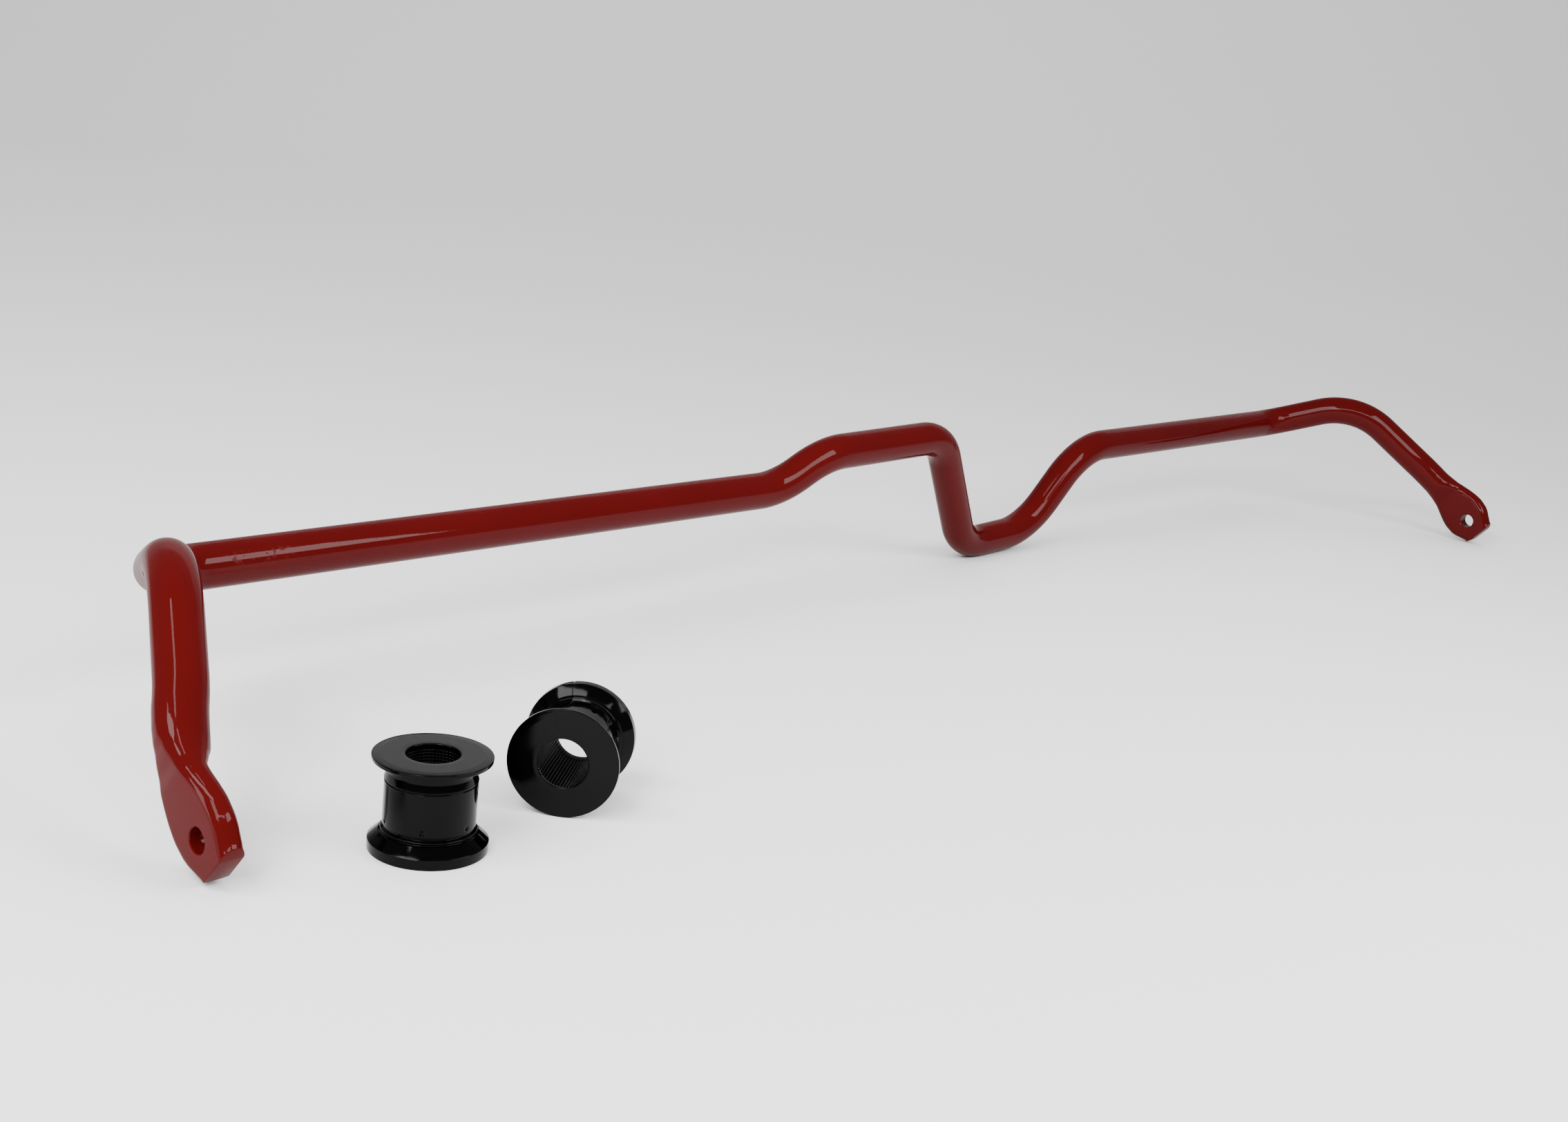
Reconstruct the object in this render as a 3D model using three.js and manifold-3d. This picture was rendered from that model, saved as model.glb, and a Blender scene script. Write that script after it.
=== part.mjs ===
// Sway bar kit: one bent round bar with a forged eye at each end, and the two split bushes that carry it.
// Millimetres, +Z up. The bar lies as it does on a bench, on the tips of its two eyes and on the bottom
// of its dip, with the bushes loose in front of it. +X runs along the bar towards the kinked end, +Y away
// from the eyes. The origin is under the middle of the whole layout, on the bench.
import * as THREE from "three";
import { mergeVertices } from "three/addons/utils/BufferGeometryUtils.js";
import Module from "manifold-3d";

// ---- Bar: driving dimensions ----
const BAR_RADIUS = 11;
const BAR_SIDES = 24;
const DEGREES_PER_RING = 9;
const AXIS_HEIGHT = 72.8; // of the straight seats above the bench
// Corners of the centreline before they are rounded, from the seats' axis: x, y, z.
const SHOULDER = [516.5, 0, 0]; // where the straight bar turns into the arm
const ELBOW = [544.7, -61.6, 26];
const ARM_SET = [568.6, -109.3, -13]; // a slight set part way down the arm
const NECK = [585, -134.2, -34.8]; // where the arm turns into the flat of the eye
const EYE_HOLE = [585, -158.1, -54.8];
const KINKS = [
  [-100.4, 0, 0],
  [-69.2, -8.6, 21],
  [49, -7, 22.9],
  [113.7, 11.6, -62.5],
  [190.1, 12.1, -59.9],
  [232.7, 0, 0],
];
const SHOULDER_BEND = 31.8; // centreline bend radii
const ELBOW_BEND = 54.8;
const ARM_SET_BEND = 130;
const NECK_BEND = 32.6;
const KINK_BEND = 52.6;
const SHARP_KINK_BEND = 38; // top and bottom of the steep drop
// The bar is one forging, wound up by the suspension along its length. Its two halves meet here.
const HALVES_MEET_X = -200;
const TOUCH_GAP = 0.3;

// ---- Eyes: the bar's ends forged flat ----
const EYE_HOLE_RADIUS = 5.25;
const EYE_REACH = 20; // the forging is laid out this far past the hole, then trimmed
const TIP_CORNER_REACH = 11; // the sheared tip: from the hole to its two corners
const TIP_CROWN = 4; // and the rise of its arc between them
const TIP_CORNER_WIDTH = 15;
// The section at a distance from the hole, back towards the arm. Its outer face stays flush with the
// eye's outer flat, so where the neck is still thick its middle sits inward.
const FORGING = [
  { back: -EYE_REACH, halfWidth: 11.5, halfThickness: 5.5, inward: 0 },
  { back: -11, halfWidth: 14, halfThickness: 5.5, inward: 0 },
  { back: -4, halfWidth: 16.9, halfThickness: 5.5, inward: 0 },
  { back: 2, halfWidth: 18, halfThickness: 5.5, inward: 0 },
  { back: 7, halfWidth: 18.3, halfThickness: 5.5, inward: 0 },
  { back: 13, halfWidth: 17.5, halfThickness: 5.5, inward: 0 },
  { back: 19, halfWidth: 15.9, halfThickness: 5.6, inward: 0.1 },
  { back: 25, halfWidth: 14, halfThickness: 6.1, inward: 0.5 },
  { back: 31, halfWidth: 12.5, halfThickness: 7.5, inward: 1.4 },
  { back: 37, halfWidth: 11.6, halfThickness: 9.3, inward: 1.1 },
  { back: 43, halfWidth: BAR_RADIUS, halfThickness: 10.7, inward: 0.3 },
  { back: 48, halfWidth: BAR_RADIUS, halfThickness: BAR_RADIUS, inward: 0 },
];

// ---- Bushes ----
const BUSH_LENGTH = 40.4;
const BORE_RADIUS = 11;
const FLANGE_RADIUS = 24.5;
const RIM_HEIGHT = 4.4; // straight rim of the conical flange
const CONE_TOP = { radius: 19.4, height: 9 };
const BARREL_RADIUS = 18.9;
const GROOVE_RADIUS = 18.2;
const UNDERCUT_RADIUS = 17.6; // below the thin flange
const THIN_FLANGE = 2.2;
const SLIT_WIDTH = 0.6; // the cut that lets the bush open over the bar
const BUSH_SIDES = 48;
// Standing on its conical flange, and lying on the rims of both flanges.
const STANDING_BUSH = { x: -496.8, y: -178.1, slitDegrees: 75 };
const LYING_BUSH = { x: -432, y: -184.6, turnDegrees: 36.1, slitDegrees: 12 };

// ---- Finishes ----
const ENAMEL = { color: 0x8a1210, roughness: 0.12, metalness: 0 };
const POLYURETHANE = { color: 0x0c0c0e, roughness: 0.35, metalness: 0 };

const wasm = await Module();
wasm.setup();

const vector = ([x, y, z]) => new THREE.Vector3(x, y, z);
const mirrored = ([x, y, z]) => [-x, y, z];

// ---- Solids ----
function solid(geometry) {
  const bare = geometry.index ? geometry.toNonIndexed() : geometry.clone();
  bare.deleteAttribute("normal");
  bare.deleteAttribute("uv");
  const merged = mergeVertices(bare, 1e-4);
  return new wasm.Manifold(
    new wasm.Mesh({
      numProp: 3,
      vertProperties: merged.attributes.position.array,
      triVerts: new Uint32Array(merged.index.array),
    }),
  );
}

function named(name, manifold, finish) {
  const made = manifold.getMesh();
  const geometry = new THREE.BufferGeometry();
  geometry.setAttribute("position", new THREE.BufferAttribute(made.vertProperties, 3));
  geometry.setIndex(new THREE.BufferAttribute(made.triVerts, 1));
  const mesh = new THREE.Mesh(geometry, new THREE.MeshStandardMaterial(finish));
  mesh.name = name;
  return mesh;
}

// ---- Centreline: straights joined by round bends ----
class Bend extends THREE.Curve {
  constructor(before, corner, after, radius) {
    super();
    const back = before.clone().sub(corner).normalize();
    const on = after.clone().sub(corner).normalize();
    this.turn = Math.PI - back.angleTo(on);
    const run = radius * Math.tan(this.turn / 2);
    this.first = corner.clone().addScaledVector(back, run);
    this.last = corner.clone().addScaledVector(on, run);
    this.direction = back.clone().negate();
    this.inward = on.clone().addScaledVector(back, -on.dot(back)).normalize();
    this.radius = radius;
  }

  getPoint(t, target = new THREE.Vector3()) {
    const angle = t * this.turn;
    return target
      .copy(this.first)
      .addScaledVector(this.direction, this.radius * Math.sin(angle))
      .addScaledVector(this.inward, this.radius * (1 - Math.cos(angle)));
  }
}

// corners: { at: [x, y, z], bend: radius }, where the first and the last have no bend.
function centreline(corners) {
  const path = new THREE.CurvePath();
  let from = vector(corners[0].at);
  for (let i = 1; i < corners.length - 1; i++) {
    const neighbours = [corners[i - 1], corners[i], corners[i + 1]].map((c) => vector(c.at));
    const bend = new Bend(...neighbours, corners[i].bend);
    path.add(new THREE.LineCurve3(from, bend.first));
    path.add(bend);
    from = bend.last;
  }
  path.add(new THREE.LineCurve3(from, vector(corners.at(-1).at)));
  return path;
}

// Distances along the centreline at which the bar has a ring of points.
function ringDistances(path) {
  const distances = FORGING.map((station) => station.back + EYE_REACH);
  let start = 0;
  for (const piece of path.curves) {
    const length = piece.getLength();
    const steps = piece instanceof Bend
      ? Math.ceil(THREE.MathUtils.radToDeg(piece.turn) / DEGREES_PER_RING)
      : 1;
    for (let i = 0; i <= steps; i++) distances.push(start + (length * i) / steps);
    start += length;
  }
  const forged = FORGING.at(-1).back + EYE_REACH;
  const isForgingStation = (d) => FORGING.some((station) => station.back + EYE_REACH === d);
  distances.sort((a, b) => a - b);
  return distances.filter((d, i) => {
    if (d < forged) return isForgingStation(d) && d !== distances[i - 1];
    return i === 0 || d - distances[i - 1] > 0.5;
  });
}

function forgedSize(distance) {
  const back = distance - EYE_REACH;
  const next = FORGING.findIndex((station) => station.back >= back - 1e-6);
  if (next < 0) return FORGING.at(-1);
  const b = FORGING[next];
  const a = FORGING[Math.max(next - 1, 0)];
  const t = a === b ? 0 : (back - a.back) / (b.back - a.back);
  return {
    halfWidth: THREE.MathUtils.lerp(a.halfWidth, b.halfWidth, t),
    halfThickness: THREE.MathUtils.lerp(a.halfThickness, b.halfThickness, t),
    inward: THREE.MathUtils.lerp(a.inward, b.inward, t),
  };
}

// A round section, or where it is forged, its two half rounds pulled apart to leave two flats.
function ring(onLine, across, inwards, { halfWidth, halfThickness, inward }) {
  const centre = onLine.clone().addScaledVector(inwards, inward);
  const points = [];
  for (let i = 0; i < BAR_SIDES; i++) {
    const angle = ((i + 0.5) * 2 * Math.PI) / BAR_SIDES;
    const spread = Math.sign(Math.cos(angle)) * (halfWidth - halfThickness);
    const point = centre.clone();
    point.addScaledVector(across, halfThickness * Math.cos(angle) + spread);
    point.addScaledVector(inwards, halfThickness * Math.sin(angle));
    points.push(point);
  }
  return points;
}

function loft(rings) {
  const positions = rings.flat().flatMap((p) => p.toArray());
  const index = [];
  const n = BAR_SIDES;
  for (let r = 0; r + 1 < rings.length; r++) {
    for (let i = 0; i < n; i++) {
      const a = r * n + i;
      const b = r * n + ((i + 1) % n);
      index.push(a, b, b + n, a, b + n, a + n);
    }
  }
  const end = (rings.length - 1) * n;
  for (let i = 1; i + 1 < n; i++) {
    index.push(0, i + 1, i);
    index.push(end, end + i, end + i + 1);
  }
  const geometry = new THREE.BufferGeometry();
  geometry.setAttribute("position", new THREE.Float32BufferAttribute(positions, 3));
  geometry.setIndex(index);
  return geometry;
}

// A bar along the centreline, which starts past the tip of the eye on one side. The flats face along X.
function bar(path, side) {
  const length = path.getLength();
  const inwards = new THREE.Vector3(-side, 0, 0);
  let tangent = path.getTangentAt(0);
  const rings = ringDistances(path).map((distance) => {
    const u = Math.min(distance / length, 1);
    const next = path.getTangentAt(u);
    inwards.applyQuaternion(new THREE.Quaternion().setFromUnitVectors(tangent, next));
    tangent = next;
    const across = new THREE.Vector3().crossVectors(inwards, tangent).negate();
    return ring(path.getPointAt(u), across, inwards, forgedSize(distance));
  });
  const made = solid(loft(rings));
  return made.volume() > 0 ? made : solid(loft(rings.reverse()));
}

// ---- Eye trimming: the sheared tip and the hole, both straight through along X ----
function eyeFrame(side) {
  const along = vector(EYE_HOLE).sub(vector(NECK)).normalize();
  const outward = new THREE.Vector3(1, 0, 0);
  const across = new THREE.Vector3().crossVectors(outward, along);
  const hole = vector(EYE_HOLE).multiply(new THREE.Vector3(side, 1, 1));
  return new THREE.Matrix4().makeBasis(along, across, outward).setPosition(hole);
}

function eyeHole(side) {
  const drill = new THREE.CylinderGeometry(EYE_HOLE_RADIUS, EYE_HOLE_RADIUS, 4 * BAR_RADIUS, 32);
  drill.rotateX(Math.PI / 2);
  return solid(drill.applyMatrix4(eyeFrame(side)));
}

// Everything past the tip's arc.
function tipWaste(side) {
  const rise = TIP_CROWN;
  const arcRadius = (TIP_CORNER_WIDTH ** 2 + rise ** 2) / (2 * rise);
  const arcCentre = TIP_CORNER_REACH + rise - arcRadius;
  const spread = 1.3 * Math.asin(TIP_CORNER_WIDTH / arcRadius);
  const far = EYE_REACH + TIP_CORNER_REACH;
  const outline = new THREE.Shape();
  outline.absarc(arcCentre, 0, arcRadius, spread, -spread, true);
  outline.lineTo(far, -2 * BAR_RADIUS);
  outline.lineTo(far, 2 * BAR_RADIUS);
  outline.closePath();
  const shape = new THREE.ExtrudeGeometry(outline, {
    depth: 4 * BAR_RADIUS,
    bevelEnabled: false,
    curveSegments: 12,
  });
  shape.translate(0, 0, -2 * BAR_RADIUS);
  return solid(shape.applyMatrix4(eyeFrame(side)));
}

function trimEye(manifold, side) {
  return manifold.subtract(eyeHole(side)).subtract(tipWaste(side));
}

// ---- The two halves of the bar ----
function armCorners(place) {
  const pastTip = vector(EYE_HOLE)
    .addScaledVector(vector(EYE_HOLE).sub(vector(NECK)).normalize(), EYE_REACH)
    .toArray();
  return [
    { at: place(pastTip) },
    { at: place(NECK), bend: NECK_BEND },
    { at: place(ARM_SET), bend: ARM_SET_BEND },
    { at: place(ELBOW), bend: ELBOW_BEND },
    { at: place(SHOULDER), bend: SHOULDER_BEND },
  ];
}

function plainHalf() {
  const corners = [...armCorners(mirrored), { at: [HALVES_MEET_X - TOUCH_GAP / 2, 0, 0] }];
  return trimEye(bar(centreline(corners), -1), -1);
}

function kinkedHalf() {
  const kinks = KINKS.map((at, i) => ({
    at,
    bend: i === 2 || i === 3 ? SHARP_KINK_BEND : KINK_BEND,
  }));
  const corners = [
    ...armCorners((at) => at),
    ...kinks.reverse(),
    { at: [HALVES_MEET_X + TOUCH_GAP / 2, 0, 0] },
  ];
  return trimEye(bar(centreline(corners), 1), 1);
}

// ---- Bush: a spool with one conical and one thin flange, slit along one wall ----
function bushProfile() {
  const thinFlange = BUSH_LENGTH - THIN_FLANGE;
  return [
    [BORE_RADIUS, 0],
    [FLANGE_RADIUS, 0],
    [FLANGE_RADIUS, RIM_HEIGHT],
    [CONE_TOP.radius, CONE_TOP.height],
    [GROOVE_RADIUS, CONE_TOP.height + 0.8],
    [BARREL_RADIUS, CONE_TOP.height + 2.2],
    [BARREL_RADIUS, 29.6],
    [GROOVE_RADIUS, 30.2],
    [BARREL_RADIUS, 30.8],
    [BARREL_RADIUS, 36.4],
    [UNDERCUT_RADIUS, 36.8],
    [UNDERCUT_RADIUS, thinFlange],
    [FLANGE_RADIUS, thinFlange],
    [FLANGE_RADIUS, BUSH_LENGTH],
    [BORE_RADIUS, BUSH_LENGTH],
    [BORE_RADIUS, 0],
  ].map(([radius, height]) => new THREE.Vector2(radius, height));
}

// Stands on its conical flange at the origin. The slit is at slitDegrees about Z from +X.
function bush(slitDegrees) {
  const spool = new THREE.LatheGeometry(bushProfile(), BUSH_SIDES);
  spool.rotateX(Math.PI / 2);
  const slit = new THREE.BoxGeometry(2 * FLANGE_RADIUS, SLIT_WIDTH, 2 * BUSH_LENGTH);
  slit.translate(FLANGE_RADIUS, 0, 0);
  slit.rotateZ(THREE.MathUtils.degToRad(slitDegrees));
  return solid(spool).subtract(solid(slit));
}

// ---- Layout ----
const barHalves = new THREE.Group();
barHalves.position.z = AXIS_HEIGHT;
barHalves.add(named("bar_kinked_half", kinkedHalf(), ENAMEL));
barHalves.add(named("bar_plain_half", plainHalf(), ENAMEL));

const standingBush = named("bush_standing", bush(STANDING_BUSH.slitDegrees), POLYURETHANE);
standingBush.position.set(STANDING_BUSH.x, STANDING_BUSH.y, 0);

const lyingBush = named("bush_lying", bush(LYING_BUSH.slitDegrees), POLYURETHANE);
const lyingBushPlace = new THREE.Group();
lyingBush.position.z = -BUSH_LENGTH;
lyingBushPlace.add(lyingBush);
lyingBushPlace.rotation.set(0, -Math.PI / 2, 0);
const lyingBushTurn = new THREE.Group();
lyingBushTurn.add(lyingBushPlace);
lyingBushTurn.rotation.z = THREE.MathUtils.degToRad(LYING_BUSH.turnDegrees);
lyingBushTurn.position.set(LYING_BUSH.x, LYING_BUSH.y, FLANGE_RADIUS);

const kit = new THREE.Group();
kit.add(barHalves, standingBush, lyingBushTurn);

// The origin goes under the middle of the layout, on the bench.
const extent = new THREE.Box3().setFromObject(kit, true);
const middle = extent.getCenter(new THREE.Vector3());
kit.position.set(0, -middle.y, 0);

export default kit;
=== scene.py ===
import math

import bmesh
import bpy
from mathutils import Matrix, Quaternion, Vector


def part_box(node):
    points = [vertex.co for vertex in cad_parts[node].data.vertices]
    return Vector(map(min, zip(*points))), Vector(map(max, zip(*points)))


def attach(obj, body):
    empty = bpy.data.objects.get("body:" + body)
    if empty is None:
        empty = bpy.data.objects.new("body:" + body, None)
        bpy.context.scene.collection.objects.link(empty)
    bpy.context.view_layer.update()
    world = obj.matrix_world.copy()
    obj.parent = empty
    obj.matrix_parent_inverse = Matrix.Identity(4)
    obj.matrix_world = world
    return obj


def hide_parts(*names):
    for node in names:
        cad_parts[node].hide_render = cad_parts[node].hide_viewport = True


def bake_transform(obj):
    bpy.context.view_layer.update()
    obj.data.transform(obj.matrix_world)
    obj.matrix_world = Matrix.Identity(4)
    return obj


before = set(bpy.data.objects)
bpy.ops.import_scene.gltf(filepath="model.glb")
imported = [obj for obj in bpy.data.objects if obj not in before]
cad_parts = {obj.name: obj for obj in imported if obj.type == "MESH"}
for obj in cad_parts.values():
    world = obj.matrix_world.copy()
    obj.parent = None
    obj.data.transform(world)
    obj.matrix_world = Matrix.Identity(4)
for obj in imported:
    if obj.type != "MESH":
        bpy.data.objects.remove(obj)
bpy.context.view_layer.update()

MM = 0.001

# ---- Where the CAD pieces lie ----
PLAIN_HIGH = Vector(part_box("bar_plain_half")[1])
STANDING_LOW, STANDING_HIGH = (Vector(v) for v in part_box("bush_standing"))
LYING_LOW, LYING_HIGH = (Vector(v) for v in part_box("bush_lying"))

# ---- Bar: the CAD bar's route, in mm from the axis of its straight seats ----
BAR_RADIUS = 11
AXIS_HEIGHT = 72.8
SHOULDER = (516.5, 0, 0)
ELBOW = (544.7, -61.6, 26)
ARM_SET = (568.6, -109.3, -13)
NECK = (585, -134.2, -34.8)
EYE_HOLE = (585, -158.1, -54.8)
SHOULDER_BEND = 31.8
ELBOW_BEND = 54.8
ARM_SET_BEND = 130
NECK_BEND = 32.6
# Corners of the kinked middle, each with its bend radius.
KINKS = [
    ((-100.4, 0, 0), 52.6),
    ((-69.2, -8.6, 21), 52.6),
    ((49, -7, 22.9), 38),
    ((113.7, 11.6, -62.5), 38),
    ((190.1, 12.1, -59.9), 52.6),
    ((232.7, 0, 0), 52.6),
]
# The forged ends: distance back from the hole, half width, half thickness, and how far the middle
# sits inward. The necks are set in a little deeper than on the CAD bar.
FORGING = [
    (-15, 12.4, 5.5, 0),
    (-11, 14, 5.5, 0),
    (-4, 16.9, 5.5, 0),
    (2, 18, 5.5, 0),
    (7, 18.3, 5.5, 0),
    (13, 17.5, 5.5, 0),
    (19, 15.9, 5.6, 0.1),
    (25, 14, 6.1, 0.6),
    (31, 12.5, 7.5, 1.9),
    (37, 11.6, 9.3, 2.1),
    (43, 11, 10.7, 1.4),
    (50, 11, 11, 0.6),
    (60, 11, 11, 0),
]
EYE_THICKNESS = 11
EYE_HOLE_RADIUS = 5.25
# The hole's edges are broken: its radius widens from the first depth to the second, from mid-eye.
EYE_HOLE_MOUTH_RADIUS = 6.4
EYE_HOLE_BREAK = (5.1, 6.2)
DRILL_REACH = 20
DRILL_SIDES = 64
# The sheared tip: how far past the hole its corners lie, its crown over them, how far the corners
# lie from the middle, and how its edge is rounded.
TIP_CORNER_REACH = 11
TIP_CROWN = 4
TIP_CORNER_WIDTH = 15
TIP_EDGE = 0.6
TIP_EDGE_DEGREES = (30, 60, 90)
BAR_SIDES = 96
EYE_RING_STEP = 0.8
BEND_RING_DEGREES = 2.5
STRAIGHT_RING_STEP = 14
# Along the long straight, where the rings turn from one eye's direction to the other's.
TURN_FROM_X, TURN_TO_X = -490, -130
# Handling marks on the straight, in metres along X and up, and how softly they end.
SCUFFED_X = (-0.482, -0.452, 0.006)
SCUFFED_Z = (0.0755, 0.0795, 0.002)
BAR_CREASE_DEGREES = 16

# ---- Bushes, in mm: radius and height up from the conical flange ----
BUSH_LENGTH = 40.4
BORE_RADIUS = 11
FLANGE_RADIUS = 24.5
BARREL_RADIUS = 18.9
RIM_HEIGHT = 4.4
THIN_FLANGE = 2.2
UNDER_THIN_FLANGE = BUSH_LENGTH - THIN_FLANGE
BARREL_FOOT, BARREL_TOP = 11.4, 29.4
# The section's corners, from the bore's foot round the outside to its top: radius, height, fillet.
OUTSIDE = [
    (BORE_RADIUS, 0, 0.6),
    (FLANGE_RADIUS, 0, 0.5),
    (FLANGE_RADIUS, RIM_HEIGHT, 0.3),
    (20.3, 8.1, 0.3),
    (19.2, 8.4, 0.3),
    (19.7, 9.5, 0.45),
    (18.3, 10.1, 0.25),
    (18.1, 10.9, 0.3),
    (BARREL_RADIUS, BARREL_FOOT, 0.3),
    (BARREL_RADIUS, BARREL_TOP, 0.25),
    (18.5, 29.75, 0.12),
    (18.5, 30.05, 0.12),
    (19.1, 30.5, 0.3),
    (18.1, 33.6, 1.2),
    (18.5, 35.6, 0.5),
    (18.5, 36.6, 0.4),
    (17.5, 37.1, 0.4),
    (17.5, UNDER_THIN_FLANGE, 0.3),
    (FLANGE_RADIUS - 0.1, UNDER_THIN_FLANGE, 0.6),
    (FLANGE_RADIUS, BUSH_LENGTH - 0.25, 0.4),
    (21, BUSH_LENGTH, 2.0),
    (BORE_RADIUS, BUSH_LENGTH, 0.6),
]
FILLET_STEPS = 4
BARREL_STEP = 0.6
PLAIN_STEP = 3
BUSH_CREASE_DEGREES = 50
# The knife cut gapes a little at the conical flange and is all but shut at the thin one.
SLIT_AT_CONE = 0.45
SLIT_AT_THIN_FLANGE = 0.04
# Fine chequering in the bore that holds grease: ring grooves crossed by lengthwise ones.
CHEQUERS_ROUND = 52
POINTS_PER_CHEQUER = 4
GROOVE_DEPTH = 0.42
CHEQUERS_LOW, CHEQUERS_HIGH = 5.4, 39.2
# Round dimples low on the barrel, at even turns from the slit.
DIMPLES = 6
FIRST_DIMPLE_DEGREES = -32
DIMPLE_RADIUS = 1.15
DIMPLE_DEPTH = 0.55
DIMPLE_HEIGHT = 13.4
DIMPLE_SIDES = 24
# Shallow flutes on the barrel: degrees from the slit, height of the wide end and of the pointed
# end, and width.
FLUTES = [
    (-2, 12.5, 21, 2.2),
    (-36, 12.5, 21, 3.0),
    (-62, 12.5, 20, 2.2),
    (-88, 12.5, 22, 2.6),
    (-122, 29, 20, 4.0),
]
FLUTE_DEPTH = 0.4
# One narrow land stands proud of the barrel.
LAND_DEGREES = 88
LAND_HALF_WIDTH = 1.3
LAND_LOW, LAND_HIGH = 14.2, 28.8
LAND_RISE = 0.3
# Flutes and the land keep this far from the barrel's ends.
RELIEF_MARGIN = 0.3
# How the bushes lie: turns of their slits, and the lying one's heading, in degrees.
STANDING_SLIT_TURN = 75
LYING_SLIT_TURN = 12
LYING_HEADING = 36.1
# Places of two finishes in a bush's list, after the gloss outside, and how far from the axis the
# bore's finish reaches and how far in from the ends the faces' does.
FACE_FINISH, BORE_FINISH = 1, 2
BORE_FINISH_RADIUS = 11.8
FACE_FINISH_DEPTH = 1

# ---- Stage and camera, in metres ----
FLOOR_AHEAD = (0.736, 0.677)  # the way the camera looks across the floor
FLOOR_FRONT, FLOOR_BACK = -9.0, 3.0
FLOOR_HALF_WIDTH = 8
SWEEP_RADIUS = 1.2
SWEEP_STEPS = 16
BACKDROP_HEIGHT = 6.0
# Softboxes: place, degrees round from +X that it faces, degrees down, size, brightness of its face.
SOFTBOXES = {
    "softbox_right": ((0.03, -0.85, 0.72), 115, 20, (0.70, 0.48), 15),
    "softbox_left_low": ((-1.15, 0.22, 0.16), -25, 0, (0.16, 0.30), 12),
    "softbox_left_high": ((-1.55, 0.155, 1.44), 24, 66.5, (1.50, 0.37), 19),
    "strip_left": ((-0.98, 0.20, 1.30), -18, 62, (0.30, 0.12), 14),
    "softbox_behind_camera": ((-1.89, -0.63, 1.13), 42, 45, (0.60, 0.90), 15),
    "strip_front": ((-1.05, -0.98, 0.98), 62, 45, (1.30, 0.22), 14),
}
OVERHEAD_FILL = ((1.9, 1.75, 3.1), 0, 90, (5.5, 5.5), 1.6)
ROOM_LIGHT = 0.32
CAMERA_PLACE = (-0.9625, -0.6598, 0.3217)
CAMERA_DEGREES = (75.516, -5.983, -47.857)
LENS_MM = 44.25
SENSOR_MM = 36


# ---------------------------------------------------------------- helpers
def link(obj):
    bpy.context.scene.collection.objects.link(obj)
    return obj


def mesh_object(name, vertices, faces):
    mesh = bpy.data.meshes.new(name)
    mesh.from_pydata([v[:] for v in vertices], [], faces)
    mesh.validate()
    for polygon in mesh.polygons:
        polygon.use_smooth = True
    return link(bpy.data.objects.new(name, mesh))


def face_outward(obj):
    made = bmesh.new()
    made.from_mesh(obj.data)
    bmesh.ops.recalc_face_normals(made, faces=made.faces)
    made.to_mesh(obj.data)
    made.free()


def sharpen(obj, degrees):
    """Smooth shading that breaks at edges sharper than this."""
    made = bmesh.new()
    made.from_mesh(obj.data)
    limit = math.radians(degrees)
    for edge in made.edges:
        edge.smooth = len(edge.link_faces) == 2 and edge.calc_face_angle(0) < limit
    made.to_mesh(obj.data)
    made.free()


def join(objects):
    made = bmesh.new()
    for obj in objects:
        made.from_mesh(obj.data)
        bpy.data.objects.remove(obj)
    mesh = bpy.data.meshes.new("joined")
    made.to_mesh(mesh)
    made.free()
    return link(bpy.data.objects.new("joined", mesh))


def cut(obj, cutter):
    """Takes the cutter's space out of the object, and the cutter out of the scene."""
    change = obj.modifiers.new("cut", "BOOLEAN")
    change.operation = "DIFFERENCE"
    change.solver = "EXACT"
    change.object = cutter
    bpy.context.view_layer.update()
    evaluated = obj.evaluated_get(bpy.context.evaluated_depsgraph_get())
    mesh = bpy.data.meshes.new_from_object(evaluated)
    obj.modifiers.clear()
    obj.data = mesh
    bpy.data.objects.remove(cutter)


def lathe(name, profile, segments):
    """A closed solid turned about Z from a profile of (radius, height) that starts and ends on the
    axis."""
    vertices = []
    rows = []
    for radius, height in profile:
        first = len(vertices)
        if radius == 0:
            vertices.append(Vector((0, 0, height)))
            rows.append([first] * segments)
            continue
        for k in range(segments):
            angle = math.tau * k / segments
            vertices.append(Vector((radius * math.cos(angle), radius * math.sin(angle), height)))
        rows.append(list(range(first, first + segments)))
    faces = []
    for low, high in zip(rows, rows[1:]):
        for k in range(segments):
            j = (k + 1) % segments
            corners = list(dict.fromkeys([low[k], low[j], high[j], high[k]]))
            if len(corners) > 2:
                faces.append(corners)
    obj = mesh_object(name, vertices, faces)
    face_outward(obj)
    return obj


def smooth_between(rows, x):
    """A smooth curve through rows of (x, value, value, ...), without overshoot."""
    if x <= rows[0][0]:
        return rows[0][1:]
    if x > rows[-1][0]:
        return rows[-1][1:]
    i = next(i for i in range(len(rows) - 1) if x <= rows[i + 1][0])
    a, b = rows[i], rows[i + 1]
    before = rows[i - 1] if i else a
    after = rows[i + 2] if i + 2 < len(rows) else b
    span = b[0] - a[0]
    t = (x - a[0]) / span

    def slope(p, q, r, k):
        left = (q[k] - p[k]) / (q[0] - p[0]) if q[0] > p[0] else 0
        right = (r[k] - q[k]) / (r[0] - q[0]) if r[0] > q[0] else 0
        if left * right <= 0:
            return 0
        return 2 * left * right / (left + right)

    values = []
    for k in range(1, len(a)):
        values.append(
            (2 * t**3 - 3 * t**2 + 1) * a[k]
            + (t**3 - 2 * t**2 + t) * span * slope(before, a, b, k)
            + (3 * t**2 - 2 * t**3) * b[k]
            + (t**3 - t**2) * span * slope(a, b, after, k)
        )
    return values


# ---------------------------------------------------------------- the bar
def mirrored(point):
    return (-point[0], point[1], point[2])


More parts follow.
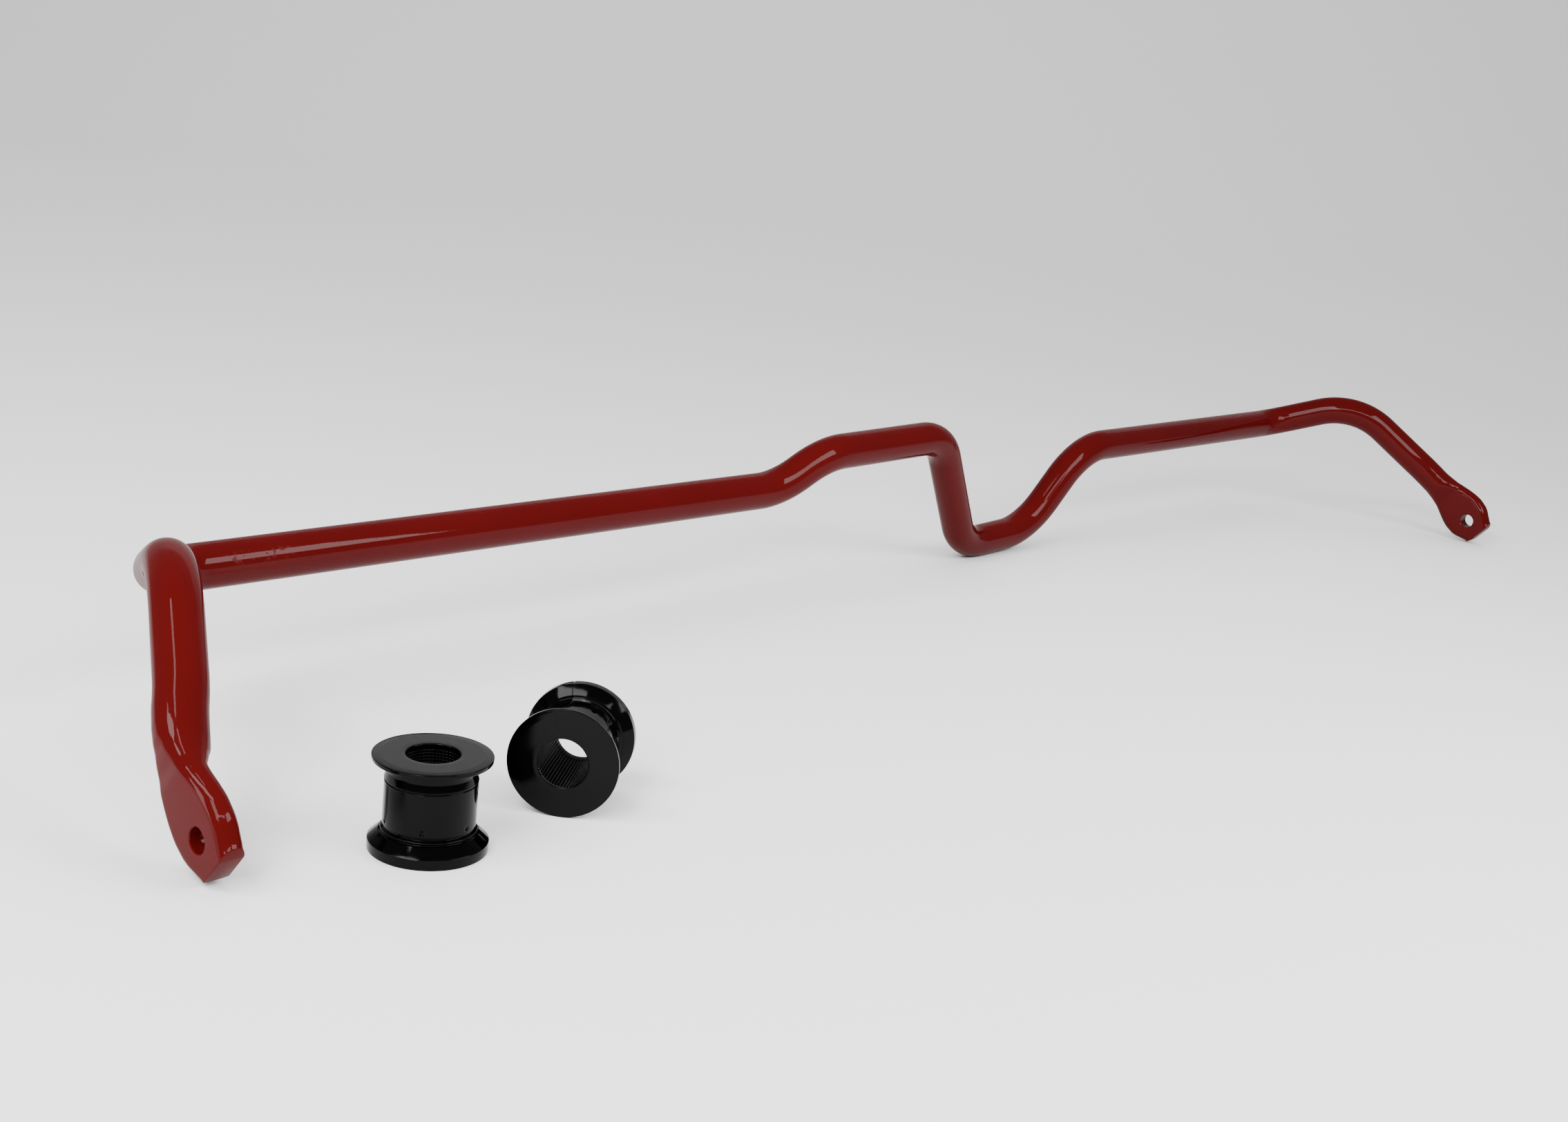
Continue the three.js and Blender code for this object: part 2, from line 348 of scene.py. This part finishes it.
def route():
    """Corners of the centreline, from one eye's hole to the other's, with their bend radii."""
    arm = [
        (EYE_HOLE, 0),
        (NECK, NECK_BEND),
        (ARM_SET, ARM_SET_BEND),
        (ELBOW, ELBOW_BEND),
        (SHOULDER, SHOULDER_BEND),
    ]
    plain_arm = [(mirrored(at), bend) for at, bend in arm]
    return plain_arm + KINKS + arm[::-1]


def centreline():
    """Stations (point, tangent, distance from the first hole) along straights and round bends."""
    corners = [(Vector(at), bend) for at, bend in route()]
    stations = []
    here = corners[0][0]
    walked = 0.0

    def straight(to):
        nonlocal here, walked
        run = to - here
        steps = max(1, math.ceil(run.length / STRAIGHT_RING_STEP))
        for k in range(steps):
            share = k / steps
            stations.append((here + run * share, run.normalized(), walked + run.length * share))
        walked += run.length
        here = to

    for (before, _), (corner, radius), (after, _) in zip(corners, corners[1:], corners[2:]):
        back = (before - corner).normalized()
        on = (after - corner).normalized()
        turn = math.pi - back.angle(on)
        run = radius * math.tan(turn / 2)
        straight(corner + back * run)
        inward = (on - back * on.dot(back)).normalized()
        steps = math.ceil(math.degrees(turn) / BEND_RING_DEGREES)
        for k in range(steps):
            angle = turn * k / steps
            forward, sideways = math.sin(angle), 1 - math.cos(angle)
            point = here - back * radius * forward + inward * radius * sideways
            tangent = -back * math.cos(angle) + inward * math.sin(angle)
            stations.append((point, tangent, walked + radius * angle))
        walked += radius * turn
        here = corner + on * run
    straight(corners[-1][0])
    stations.append((corners[-1][0], stations[-1][1], walked))
    return stations, walked


def resample_ends(stations, length):
    """Close rings over the forged ends, and the stations that were there elsewhere."""
    forged = FORGING[-1][0]

    def at(distance):
        for a, b in zip(stations, stations[1:]):
            if a[2] <= distance <= b[2] and b[2] > a[2]:
                t = (distance - a[2]) / (b[2] - a[2])
                return a[0].lerp(b[0], t), a[1].lerp(b[1], t).normalized(), distance
        end = stations[0] if distance < 0 else stations[-1]
        return end[0] + end[1] * (distance - end[2]), end[1], distance

    count = math.ceil(forged / EYE_RING_STEP)
    near = [forged * k / count for k in range(count)]
    tip = TIP_CORNER_REACH + TIP_CROWN
    ahead = math.ceil(tip / EYE_RING_STEP)
    past = [-tip * k / ahead for k in range(ahead, 0, -1)]
    middle = [s for s in stations if forged < s[2] < length - forged]
    first = [at(d) for d in past + near]
    last = [at(length - d) for d in (past + near)[::-1]]
    return first + middle + last


def inward_directions(stations):
    """The direction of the forged thickness at each station, square to the bar. It starts along X
    at both ends and is carried along the bends, and the two meet by a slow turn along the long
    straight."""

    def carried(direction, along):
        directions = [direction]
        for a, b in zip(along, along[1:]):
            directions.append(a[1].rotation_difference(b[1]) @ directions[-1])
        return directions

    forward = carried(Vector((1, 0, 0)), stations)
    backward = carried(Vector((-1, 0, 0)), stations[::-1])[::-1]
    start = next(i for i, s in enumerate(stations) if s[0].x > TURN_FROM_X)
    end = next(i for i, s in enumerate(stations) if s[0].x > TURN_TO_X)
    axis = stations[start][1]
    opposite = backward[start]
    angle = math.atan2(forward[start].cross(opposite).dot(axis), forward[start].dot(opposite))
    first, last = stations[start][2], stations[end][2]
    turned = [
        Quaternion(axis, angle * (stations[i][2] - first) / (last - first)) @ forward[i]
        for i in range(start, end + 1)
    ]
    return forward[:start] + turned + backward[end + 1:]


def section(half_width, half_thickness, inset=0.0):
    """A round section, or its two half rounds pulled apart: pairs of (across, through)."""
    radius = half_thickness - inset
    points = []
    for i in range(BAR_SIDES):
        angle = (i + 0.5) * math.tau / BAR_SIDES
        spread = math.copysign(half_width - half_thickness, math.cos(angle))
        points.append((radius * math.cos(angle) + spread, radius * math.sin(angle)))
    return points


def tip_reach(across):
    """How far past the hole the sheared end lies, at a distance across from the eye's middle."""
    radius = (TIP_CORNER_WIDTH**2 + TIP_CROWN**2) / (2 * TIP_CROWN)
    across = min(abs(across), 0.95 * radius)
    return TIP_CORNER_REACH + TIP_CROWN - radius + math.sqrt(radius**2 - across**2)


def bar_ring(station, inward, length):
    """One ring of the bar. Ahead of the hole it bows with the shear."""
    point, tangent, distance = station
    face = EYE_HOLE[0] + EYE_THICKNESS / 2
    full_tip = TIP_CORNER_REACH + TIP_CROWN
    back = min(distance, length - distance)
    half_width, half_thickness, shift = smooth_between(FORGING, back)
    across = inward.cross(tangent).normalized()
    ring = []
    for a, b in section(half_width, half_thickness):
        vertex = point + across * a + inward * (b + shift)
        if back < 0:
            way = 1 if distance > length / 2 else -1
            vertex += tangent * way * (-back) * ((tip_reach(a) - TIP_EDGE) / full_tip - 1)
        vertex.x = max(-face, min(face, vertex.x))
        ring.append(vertex)
    return ring


def tip_edge_rings(hole, way, across, inward):
    """The rounded edge of a sheared tip, from the eye's side in to its end face."""
    half_width = FORGING[0][1]
    rings = []
    for degrees in TIP_EDGE_DEGREES:
        angle = math.radians(degrees)
        inset = TIP_EDGE * (1 - math.cos(angle))
        rise = TIP_EDGE * (math.sin(angle) - 1)
        ring = []
        for a, b in section(half_width, EYE_THICKNESS / 2, inset):
            ring.append(hole + way * (tip_reach(a) + rise) + across * a + inward * b)
        rings.append(ring)
    return rings


def bar_rings():
    stations, length = centreline()
    stations = resample_ends(stations, length)
    directions = inward_directions(stations)
    rings = [bar_ring(s, inward, length) for s, inward in zip(stations, directions)]

    def tip(end, hole, outward):
        tangent, inward = stations[end][1], directions[end]
        across = inward.cross(tangent).normalized()
        return tip_edge_rings(Vector(hole), tangent * outward, across, inward)

    return tip(0, mirrored(EYE_HOLE), -1)[::-1] + rings + tip(-1, EYE_HOLE, 1)


def bar_piece():
    rings = bar_rings()
    n = BAR_SIDES
    faces = []
    for low in range(0, (len(rings) - 1) * n, n):
        for i in range(n):
            j = (i + 1) % n
            faces.append((low + i, low + j, low + n + j, low + n + i))
    for base in (0, (len(rings) - 1) * n):
        # The sheared face: strips straight through the thickness.
        for i in range(n // 2 - 1):
            faces.append((base + i, base + i + 1, base + n - 2 - i, base + n - 1 - i))
    bar = mesh_object("bar", [v for ring in rings for v in ring], faces)
    bar.data.transform(Matrix.Scale(MM, 4))
    face_outward(bar)
    return bar


def drill_eyes(bar, axis_place):
    widen_from, widen_to = EYE_HOLE_BREAK
    profile = [
        (0, -DRILL_REACH),
        (EYE_HOLE_MOUTH_RADIUS, -DRILL_REACH),
        (EYE_HOLE_MOUTH_RADIUS, -widen_to),
        (EYE_HOLE_RADIUS, -widen_from),
    ]
    profile += [(radius, -height) for radius, height in profile[::-1]]
    for hole in (EYE_HOLE, mirrored(EYE_HOLE)):
        drill = lathe("eye_drill", profile, DRILL_SIDES)
        drill.data.transform(Matrix.Scale(MM, 4) @ Matrix.Rotation(math.pi / 2, 4, "Y"))
        drill.location = Vector(hole) * MM + axis_place
        cut(bar, drill)


# ---------------------------------------------------------------- the bushes
def rounded(outline):
    """An open outline of (radius, height, fillet) with each corner rounded by its fillet."""
    points = []
    for i, (x, y, fillet) in enumerate(outline):
        corner = Vector((x, y))
        before = Vector(outline[i - 1][:2]) - corner if i else Vector((0, 1))
        after = Vector(outline[i + 1][:2]) - corner if i + 1 < len(outline) else Vector((0, -1))
        run = fillet * math.tan((math.pi - before.angle(after)) / 2)
        start = corner + before.normalized() * run
        end = corner + after.normalized() * run
        for k in range(FILLET_STEPS + 1):
            t = k / FILLET_STEPS
            points.append(start * (1 - t) ** 2 + corner * 2 * t * (1 - t) + end * t**2)
    return points


def bush_profile():
    """The spool's closed section as (point, row of the chequering), with no row on the outside."""
    outline = rounded(OUTSIDE)
    profile = []
    for a, b in zip(outline, outline[1:]):
        on_barrel = min(a.y, b.y) > BARREL_FOOT and max(a.y, b.y) < BARREL_TOP
        longest = BARREL_STEP if on_barrel else PLAIN_STEP
        steps = max(1, math.ceil((b - a).length / longest))
        profile += [(a.lerp(b, k / steps), None) for k in range(steps)]
    profile.append((outline[-1], None))
    step = math.tau * BORE_RADIUS / CHEQUERS_ROUND / POINTS_PER_CHEQUER
    rows = math.floor((CHEQUERS_HIGH - CHEQUERS_LOW) / step)
    for row in range(rows + 1):
        profile.append((Vector((BORE_RADIUS, CHEQUERS_HIGH - row * step)), row))
    return profile


def barrel_relief(turn, height):
    """How far the barrel's surface stands out of its cylinder: the land, less the flutes."""

    def arc_from(degrees):
        away = abs((turn - math.radians(degrees) + math.pi) % math.tau - math.pi)
        return away * BARREL_RADIUS

    relief = 0
    for degrees, wide, point, width in FLUTES:
        share = (height - point) / (wide - point)
        if 0 < share <= 1:
            across = max(0, 1 - arc_from(degrees) / (width / 2 * share))
            relief -= FLUTE_DEPTH * across * min(1, 2 * share)
    if LAND_LOW < height < LAND_HIGH and arc_from(LAND_DEGREES) < LAND_HALF_WIDTH:
        relief += LAND_RISE
    return relief


def dimples():
    """Round-nosed cutters, to be taken out of the barrel."""
    profile = [
        (0, -DIMPLE_DEPTH),
        (DIMPLE_RADIUS * 0.6, -DIMPLE_DEPTH * 0.75),
        (DIMPLE_RADIUS, 0),
        (DIMPLE_RADIUS, 1),
        (0, 1),
    ]
    cutters = []
    for k in range(DIMPLES):
        cutter = lathe("dimple", profile, DIMPLE_SIDES)
        turn = math.radians(FIRST_DIMPLE_DEGREES) + math.tau * k / DIMPLES
        cutter.data.transform(
            Matrix.Rotation(turn, 4, "Z")
            @ Matrix.Translation((BARREL_RADIUS, 0, DIMPLE_HEIGHT))
            @ Matrix.Rotation(math.pi / 2, 4, "Y")
        )
        cutters.append(cutter)
    return join(cutters)


def bush_piece(name):
    """Stands on its conical flange at the origin, with its slit towards +X."""
    profile = bush_profile()
    columns = CHEQUERS_ROUND * POINTS_PER_CHEQUER
    relief_low, relief_high = BARREL_FOOT + RELIEF_MARGIN, BARREL_TOP - RELIEF_MARGIN
    vertices = []
    for c in range(columns + 1):
        for point, row in profile:
            radius, height = point
            gap = SLIT_AT_CONE + (SLIT_AT_THIN_FLANGE - SLIT_AT_CONE) * height / BUSH_LENGTH
            half_gap = math.asin(gap / 2 / radius)
            turn = half_gap + (math.tau - 2 * half_gap) * c / columns
            if row and (row % POINTS_PER_CHEQUER == 0 or c % POINTS_PER_CHEQUER == 0):
                radius += GROOVE_DEPTH
            elif row is None and relief_low < height < relief_high:
                radius += barrel_relief(turn, height)
            vertices.append(Vector((radius * math.cos(turn), radius * math.sin(turn), height)))
    n = len(profile)
    faces = []
    for low in range(0, columns * n, n):
        for i in range(n):
            j = (i + 1) % n
            faces.append((low + i, low + j, low + n + j, low + n + i))
    # The two walls of the slit.
    faces.append(list(range(n)))
    faces.append(list(range(columns * n, (columns + 1) * n)))
    bush = mesh_object(name, vertices, faces)
    face_outward(bush)
    cut(bush, dimples())
    bush.data.transform(Matrix.Scale(MM, 4))
    sharpen(bush, BUSH_CREASE_DEGREES)
    return bush


# ---------------------------------------------------------------- materials
class Nodes:
    """Short calls for building a material's node tree."""

    def __init__(self, name):
        self.material = bpy.data.materials.new(name)
        self.material.use_nodes = True
        self.tree = self.material.node_tree
        self.shader = self.tree.nodes["Principled BSDF"]

    def add(self, kind, **settings):
        node = self.tree.nodes.new(kind)
        for key, value in settings.items():
            setattr(node, key, value)
        return node

    def put(self, socket, value):
        if isinstance(value, bpy.types.NodeSocket):
            self.tree.links.new(value, socket)
        else:
            socket.default_value = value

    def surface(self, values):
        for key, value in values.items():
            self.put(self.shader.inputs[key], value)

    def object_coordinates(self):
        return self.add("ShaderNodeTexCoord").outputs["Object"]

    def noise(self, scale, detail):
        node = self.add("ShaderNodeTexNoise")
        for key, value in (
            ("Vector", self.object_coordinates()),
            ("Scale", scale),
            ("Detail", detail),
            ("Roughness", 0.5),
        ):
            self.put(node.inputs[key], value)
        return node.outputs["Fac"]

    def remap(self, value, low, high, to_low, to_high):
        node = self.add("ShaderNodeMapRange")
        for key, number in (
            ("Value", value),
            ("From Min", low),
            ("From Max", high),
            ("To Min", to_low),
            ("To Max", to_high),
        ):
            self.put(node.inputs[key], number)
        return node.outputs["Result"]

    def vary(self, scale, detail, low, high, to_low=0, to_high=1):
        """Noise of a scale and detail, from its own low and high to those asked for."""
        return self.remap(self.noise(scale, detail), low, high, to_low, to_high)

    def mix(self, factor, a, b):
        node = self.add("ShaderNodeMix", data_type="RGBA")
        self.put(node.inputs[0], factor)
        self.put(node.inputs[6], (*a, 1))
        self.put(node.inputs[7], (*b, 1))
        return node.outputs[2]

    def maths(self, operation, a, b):
        node = self.add("ShaderNodeMath", operation=operation)
        self.put(node.inputs[0], a)
        self.put(node.inputs[1], b)
        return node.outputs[0]

    def band(self, axis, low, high, fade):
        """1 between two places along an axis, fading out on either side."""
        split = self.add("ShaderNodeSeparateXYZ")
        self.put(split.inputs[0], self.object_coordinates())
        place = split.outputs[axis]
        rising = self.remap(place, low - fade, low, 0, 1)
        return self.maths("MULTIPLY", rising, self.remap(place, high, high + fade, 1, 0))

    def bump(self, height, distance, strength, normal=None):
        node = self.add("ShaderNodeBump")
        self.put(node.inputs["Height"], height)
        self.put(node.inputs["Distance"], distance)
        self.put(node.inputs["Strength"], strength)
        if normal is not None:
            self.put(node.inputs["Normal"], normal)
        return node.outputs["Normal"]


def glossy(name, drift, shades, roughness, coat_weight, coat_ior):
    """A body colour that drifts between two shades, under a clear gloss."""
    n = Nodes(name)
    n.surface({
        "Base Color": n.mix(n.vary(*drift), *shades),
        "Roughness": roughness,
        "Specular IOR Level": 0.0,
        "Coat Weight": coat_weight,
        "Coat IOR": coat_ior,
    })
    return n


def red_enamel():
    n = glossy(
        "red_enamel",
        drift=(9, 3, 0.35, 0.65),
        shades=((0.061, 0.0026, 0.0028), (0.054, 0.0022, 0.0024)),
        roughness=0.5,
        coat_weight=0.38,
        coat_ior=1.3,
    )
    ripple = n.bump(n.noise(38, 1.5), 0.00035, 0.3)
    scuffed = n.maths("MULTIPLY", n.band("X", *SCUFFED_X), n.band("Z", *SCUFFED_Z))
    scuffs = n.maths("MULTIPLY", scuffed, n.vary(420, 3, 0.55, 0.62, 0, 0.4))
    shine = n.vary(140, 4, 0.3, 0.7, 0.03, 0.06)
    n.surface({
        "Normal": ripple,
        "Coat Roughness": n.maths("ADD", shine, scuffs),
        "Coat Normal": n.bump(n.noise(700, 2), 0.00003, 0.4, ripple),
    })
    return n.material


def black_polyurethane():
    n = glossy(
        "black_polyurethane",
        drift=(60, 4, 0.3, 0.7),
        shades=((0.0003, 0.0003, 0.0005), (0.0006, 0.0006, 0.0008)),
        roughness=0.5,
        coat_weight=1.0,
        coat_ior=1.17,
    )
    flow = n.bump(n.noise(120, 2), 0.0003, 0.25)
    n.surface({
        "Normal": flow,
        "Coat Roughness": n.vary(240, 5, 0.3, 0.7, 0.05, 0.09),
        "Coat Normal": n.bump(n.noise(2400, 2), 0.00002, 0.3, flow),
    })
    return n.material


def moulded_face():
    """The flanges' end faces: the same black, matted by the mould."""
    n = glossy(
        "black_polyurethane_face",
        drift=(90, 5, 0.3, 0.7),
        shades=((0.0003, 0.0003, 0.0003), (0.0006, 0.0006, 0.0006)),
        roughness=0.6,
        coat_weight=1.0,
        coat_ior=1.2,
    )
    grain = n.bump(n.noise(3000, 3), 0.00002, 0.3)
    n.surface({
        "Normal": grain,
        "Coat Roughness": n.vary(300, 5, 0.3, 0.7, 0.10, 0.14),
        "Coat Normal": grain,
    })
    return n.material


def chequered_bore():
    """The bore as it left its core pin: the same black again, dull."""
    n = glossy(
        "black_polyurethane_bore",
        drift=(200, 3, 0.3, 0.7),
        shades=((0.0006, 0.0006, 0.0007), (0.0016, 0.0016, 0.0018)),
        roughness=0.7,
        coat_weight=0.3,
        coat_ior=1.25,
    )
    n.surface({"Coat Roughness": n.vary(300, 4, 0.3, 0.7, 0.12, 0.2)})
    return n.material


def floor_material():
    n = Nodes("studio_floor")
    n.surface({"Base Color": (0.86, 0.86, 0.86, 1), "Roughness": 0.6, "Specular IOR Level": 0.2})
    return n.material


# ---------------------------------------------------------------- stage
def stage():
    """A pale floor that curves up behind into a backdrop."""
    ahead = Vector(FLOOR_AHEAD)
    aside = Vector((ahead.y, -ahead.x))
    sweep = [(FLOOR_FRONT, 0.0), (FLOOR_BACK, 0.0)]
    for k in range(1, SWEEP_STEPS + 1):
        angle = math.pi / 2 * k / SWEEP_STEPS
        run = FLOOR_BACK + SWEEP_RADIUS * math.sin(angle)
        sweep.append((run, SWEEP_RADIUS * (1 - math.cos(angle))))
    sweep.append((FLOOR_BACK + SWEEP_RADIUS, BACKDROP_HEIGHT))
    vertices = []
    for run, height in sweep:
        for side in (-FLOOR_HALF_WIDTH, FLOOR_HALF_WIDTH):
            flat = ahead * run + aside * side
            vertices.append(Vector((flat.x, flat.y, height)))
    faces = [(2 * i, 2 * i + 1, 2 * i + 3, 2 * i + 2) for i in range(len(sweep) - 1)]
    floor = mesh_object("studio_floor", vertices, faces)
    floor.data.materials.append(floor_material())


def softbox(name, place, facing_degrees, down_degrees, size, radiance):
    """A soft rectangular light, level on top, with the brightness of its face."""
    data = bpy.data.lights.new(name, "AREA")
    data.shape = "RECTANGLE"
    data.size, data.size_y = size
    data.energy = radiance * math.pi * size[0] * size[1]
    light = link(bpy.data.objects.new(name, data))
    light.location = place
    light.rotation_euler = [math.radians(v) for v in (90 - down_degrees, 0, facing_degrees - 90)]
    return light


def lights():
    for name, settings in SOFTBOXES.items():
        softbox(name, *settings)
    fill = softbox("overhead_fill", *OVERHEAD_FILL)
    fill.visible_glossy = False
    world = bpy.data.worlds.new("studio")
    world.use_nodes = True
    background = world.node_tree.nodes["Background"]
    background.inputs["Color"].default_value = (1, 1, 1, 1)
    background.inputs["Strength"].default_value = ROOM_LIGHT
    bpy.context.scene.world = world


def camera():
    data = bpy.data.cameras.new("camera")
    data.lens = LENS_MM
    data.sensor_width = SENSOR_MM
    data.clip_start = 0.01
    obj = link(bpy.data.objects.new("camera", data))
    obj.location = CAMERA_PLACE
    obj.rotation_euler = [math.radians(v) for v in CAMERA_DEGREES]
    bpy.context.scene.camera = obj


# ---------------------------------------------------------------- assembly
def build_bar():
    bar = bar_piece()
    # The seats' axis: at its height above the floor, one bar radius in front of the CAD bar's back.
    axis_place = Vector((0, PLAIN_HIGH.y - BAR_RADIUS * MM, AXIS_HEIGHT * MM))
    bar.data.transform(Matrix.Translation(axis_place))
    drill_eyes(bar, axis_place)
    sharpen(bar, BAR_CREASE_DEGREES)
    bar.data.materials.append(red_enamel())
    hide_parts("bar_kinked_half", "bar_plain_half")
    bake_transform(bar)


def paint_bush(bush, finishes):
    """Gloss outside, and the moulded faces and the bore in finishes of their own."""
    for finish in finishes:
        bush.data.materials.append(finish)
    for polygon in bush.data.polygons:
        x, y, z = polygon.center / MM
        if min(z, BUSH_LENGTH - z) < FACE_FINISH_DEPTH:
            if abs(polygon.normal.z) > 0.9:
                polygon.material_index = FACE_FINISH
        elif math.hypot(x, y) < BORE_FINISH_RADIUS:
            polygon.material_index = BORE_FINISH


def build_bush(name, finishes, place, node, body):
    bush = bush_piece(name)
    paint_bush(bush, finishes)
    bush.data.transform(place)
    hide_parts(node)
    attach(bush, body)


def build_bushes():
    finishes = [black_polyurethane(), moulded_face(), chequered_bore()]
    middle = (STANDING_LOW + STANDING_HIGH) / 2
    standing = (
        Matrix.Translation((middle.x, middle.y, STANDING_LOW.z))
        @ Matrix.Rotation(math.radians(STANDING_SLIT_TURN), 4, "Z")
    )
    build_bush("split_bush_standing", finishes, standing, "bush_standing", "standing_bush")

    middle = (LYING_LOW + LYING_HIGH) / 2
    # Its axis goes level, thin flange towards the viewer, and its slit up.
    lying = (
        Matrix.Translation((middle.x, middle.y, FLANGE_RADIUS * MM))
        @ Matrix.Rotation(math.radians(LYING_HEADING), 4, "Z")
        @ Matrix.Rotation(math.radians(-90), 4, "Y")
        @ Matrix.Translation((0, 0, -BUSH_LENGTH * MM / 2))
        @ Matrix.Rotation(math.radians(LYING_SLIT_TURN), 4, "Z")
    )
    build_bush("split_bush_lying", finishes, lying, "bush_lying", "lying_bush")


camera()
lights()
stage()
build_bar()
build_bushes()
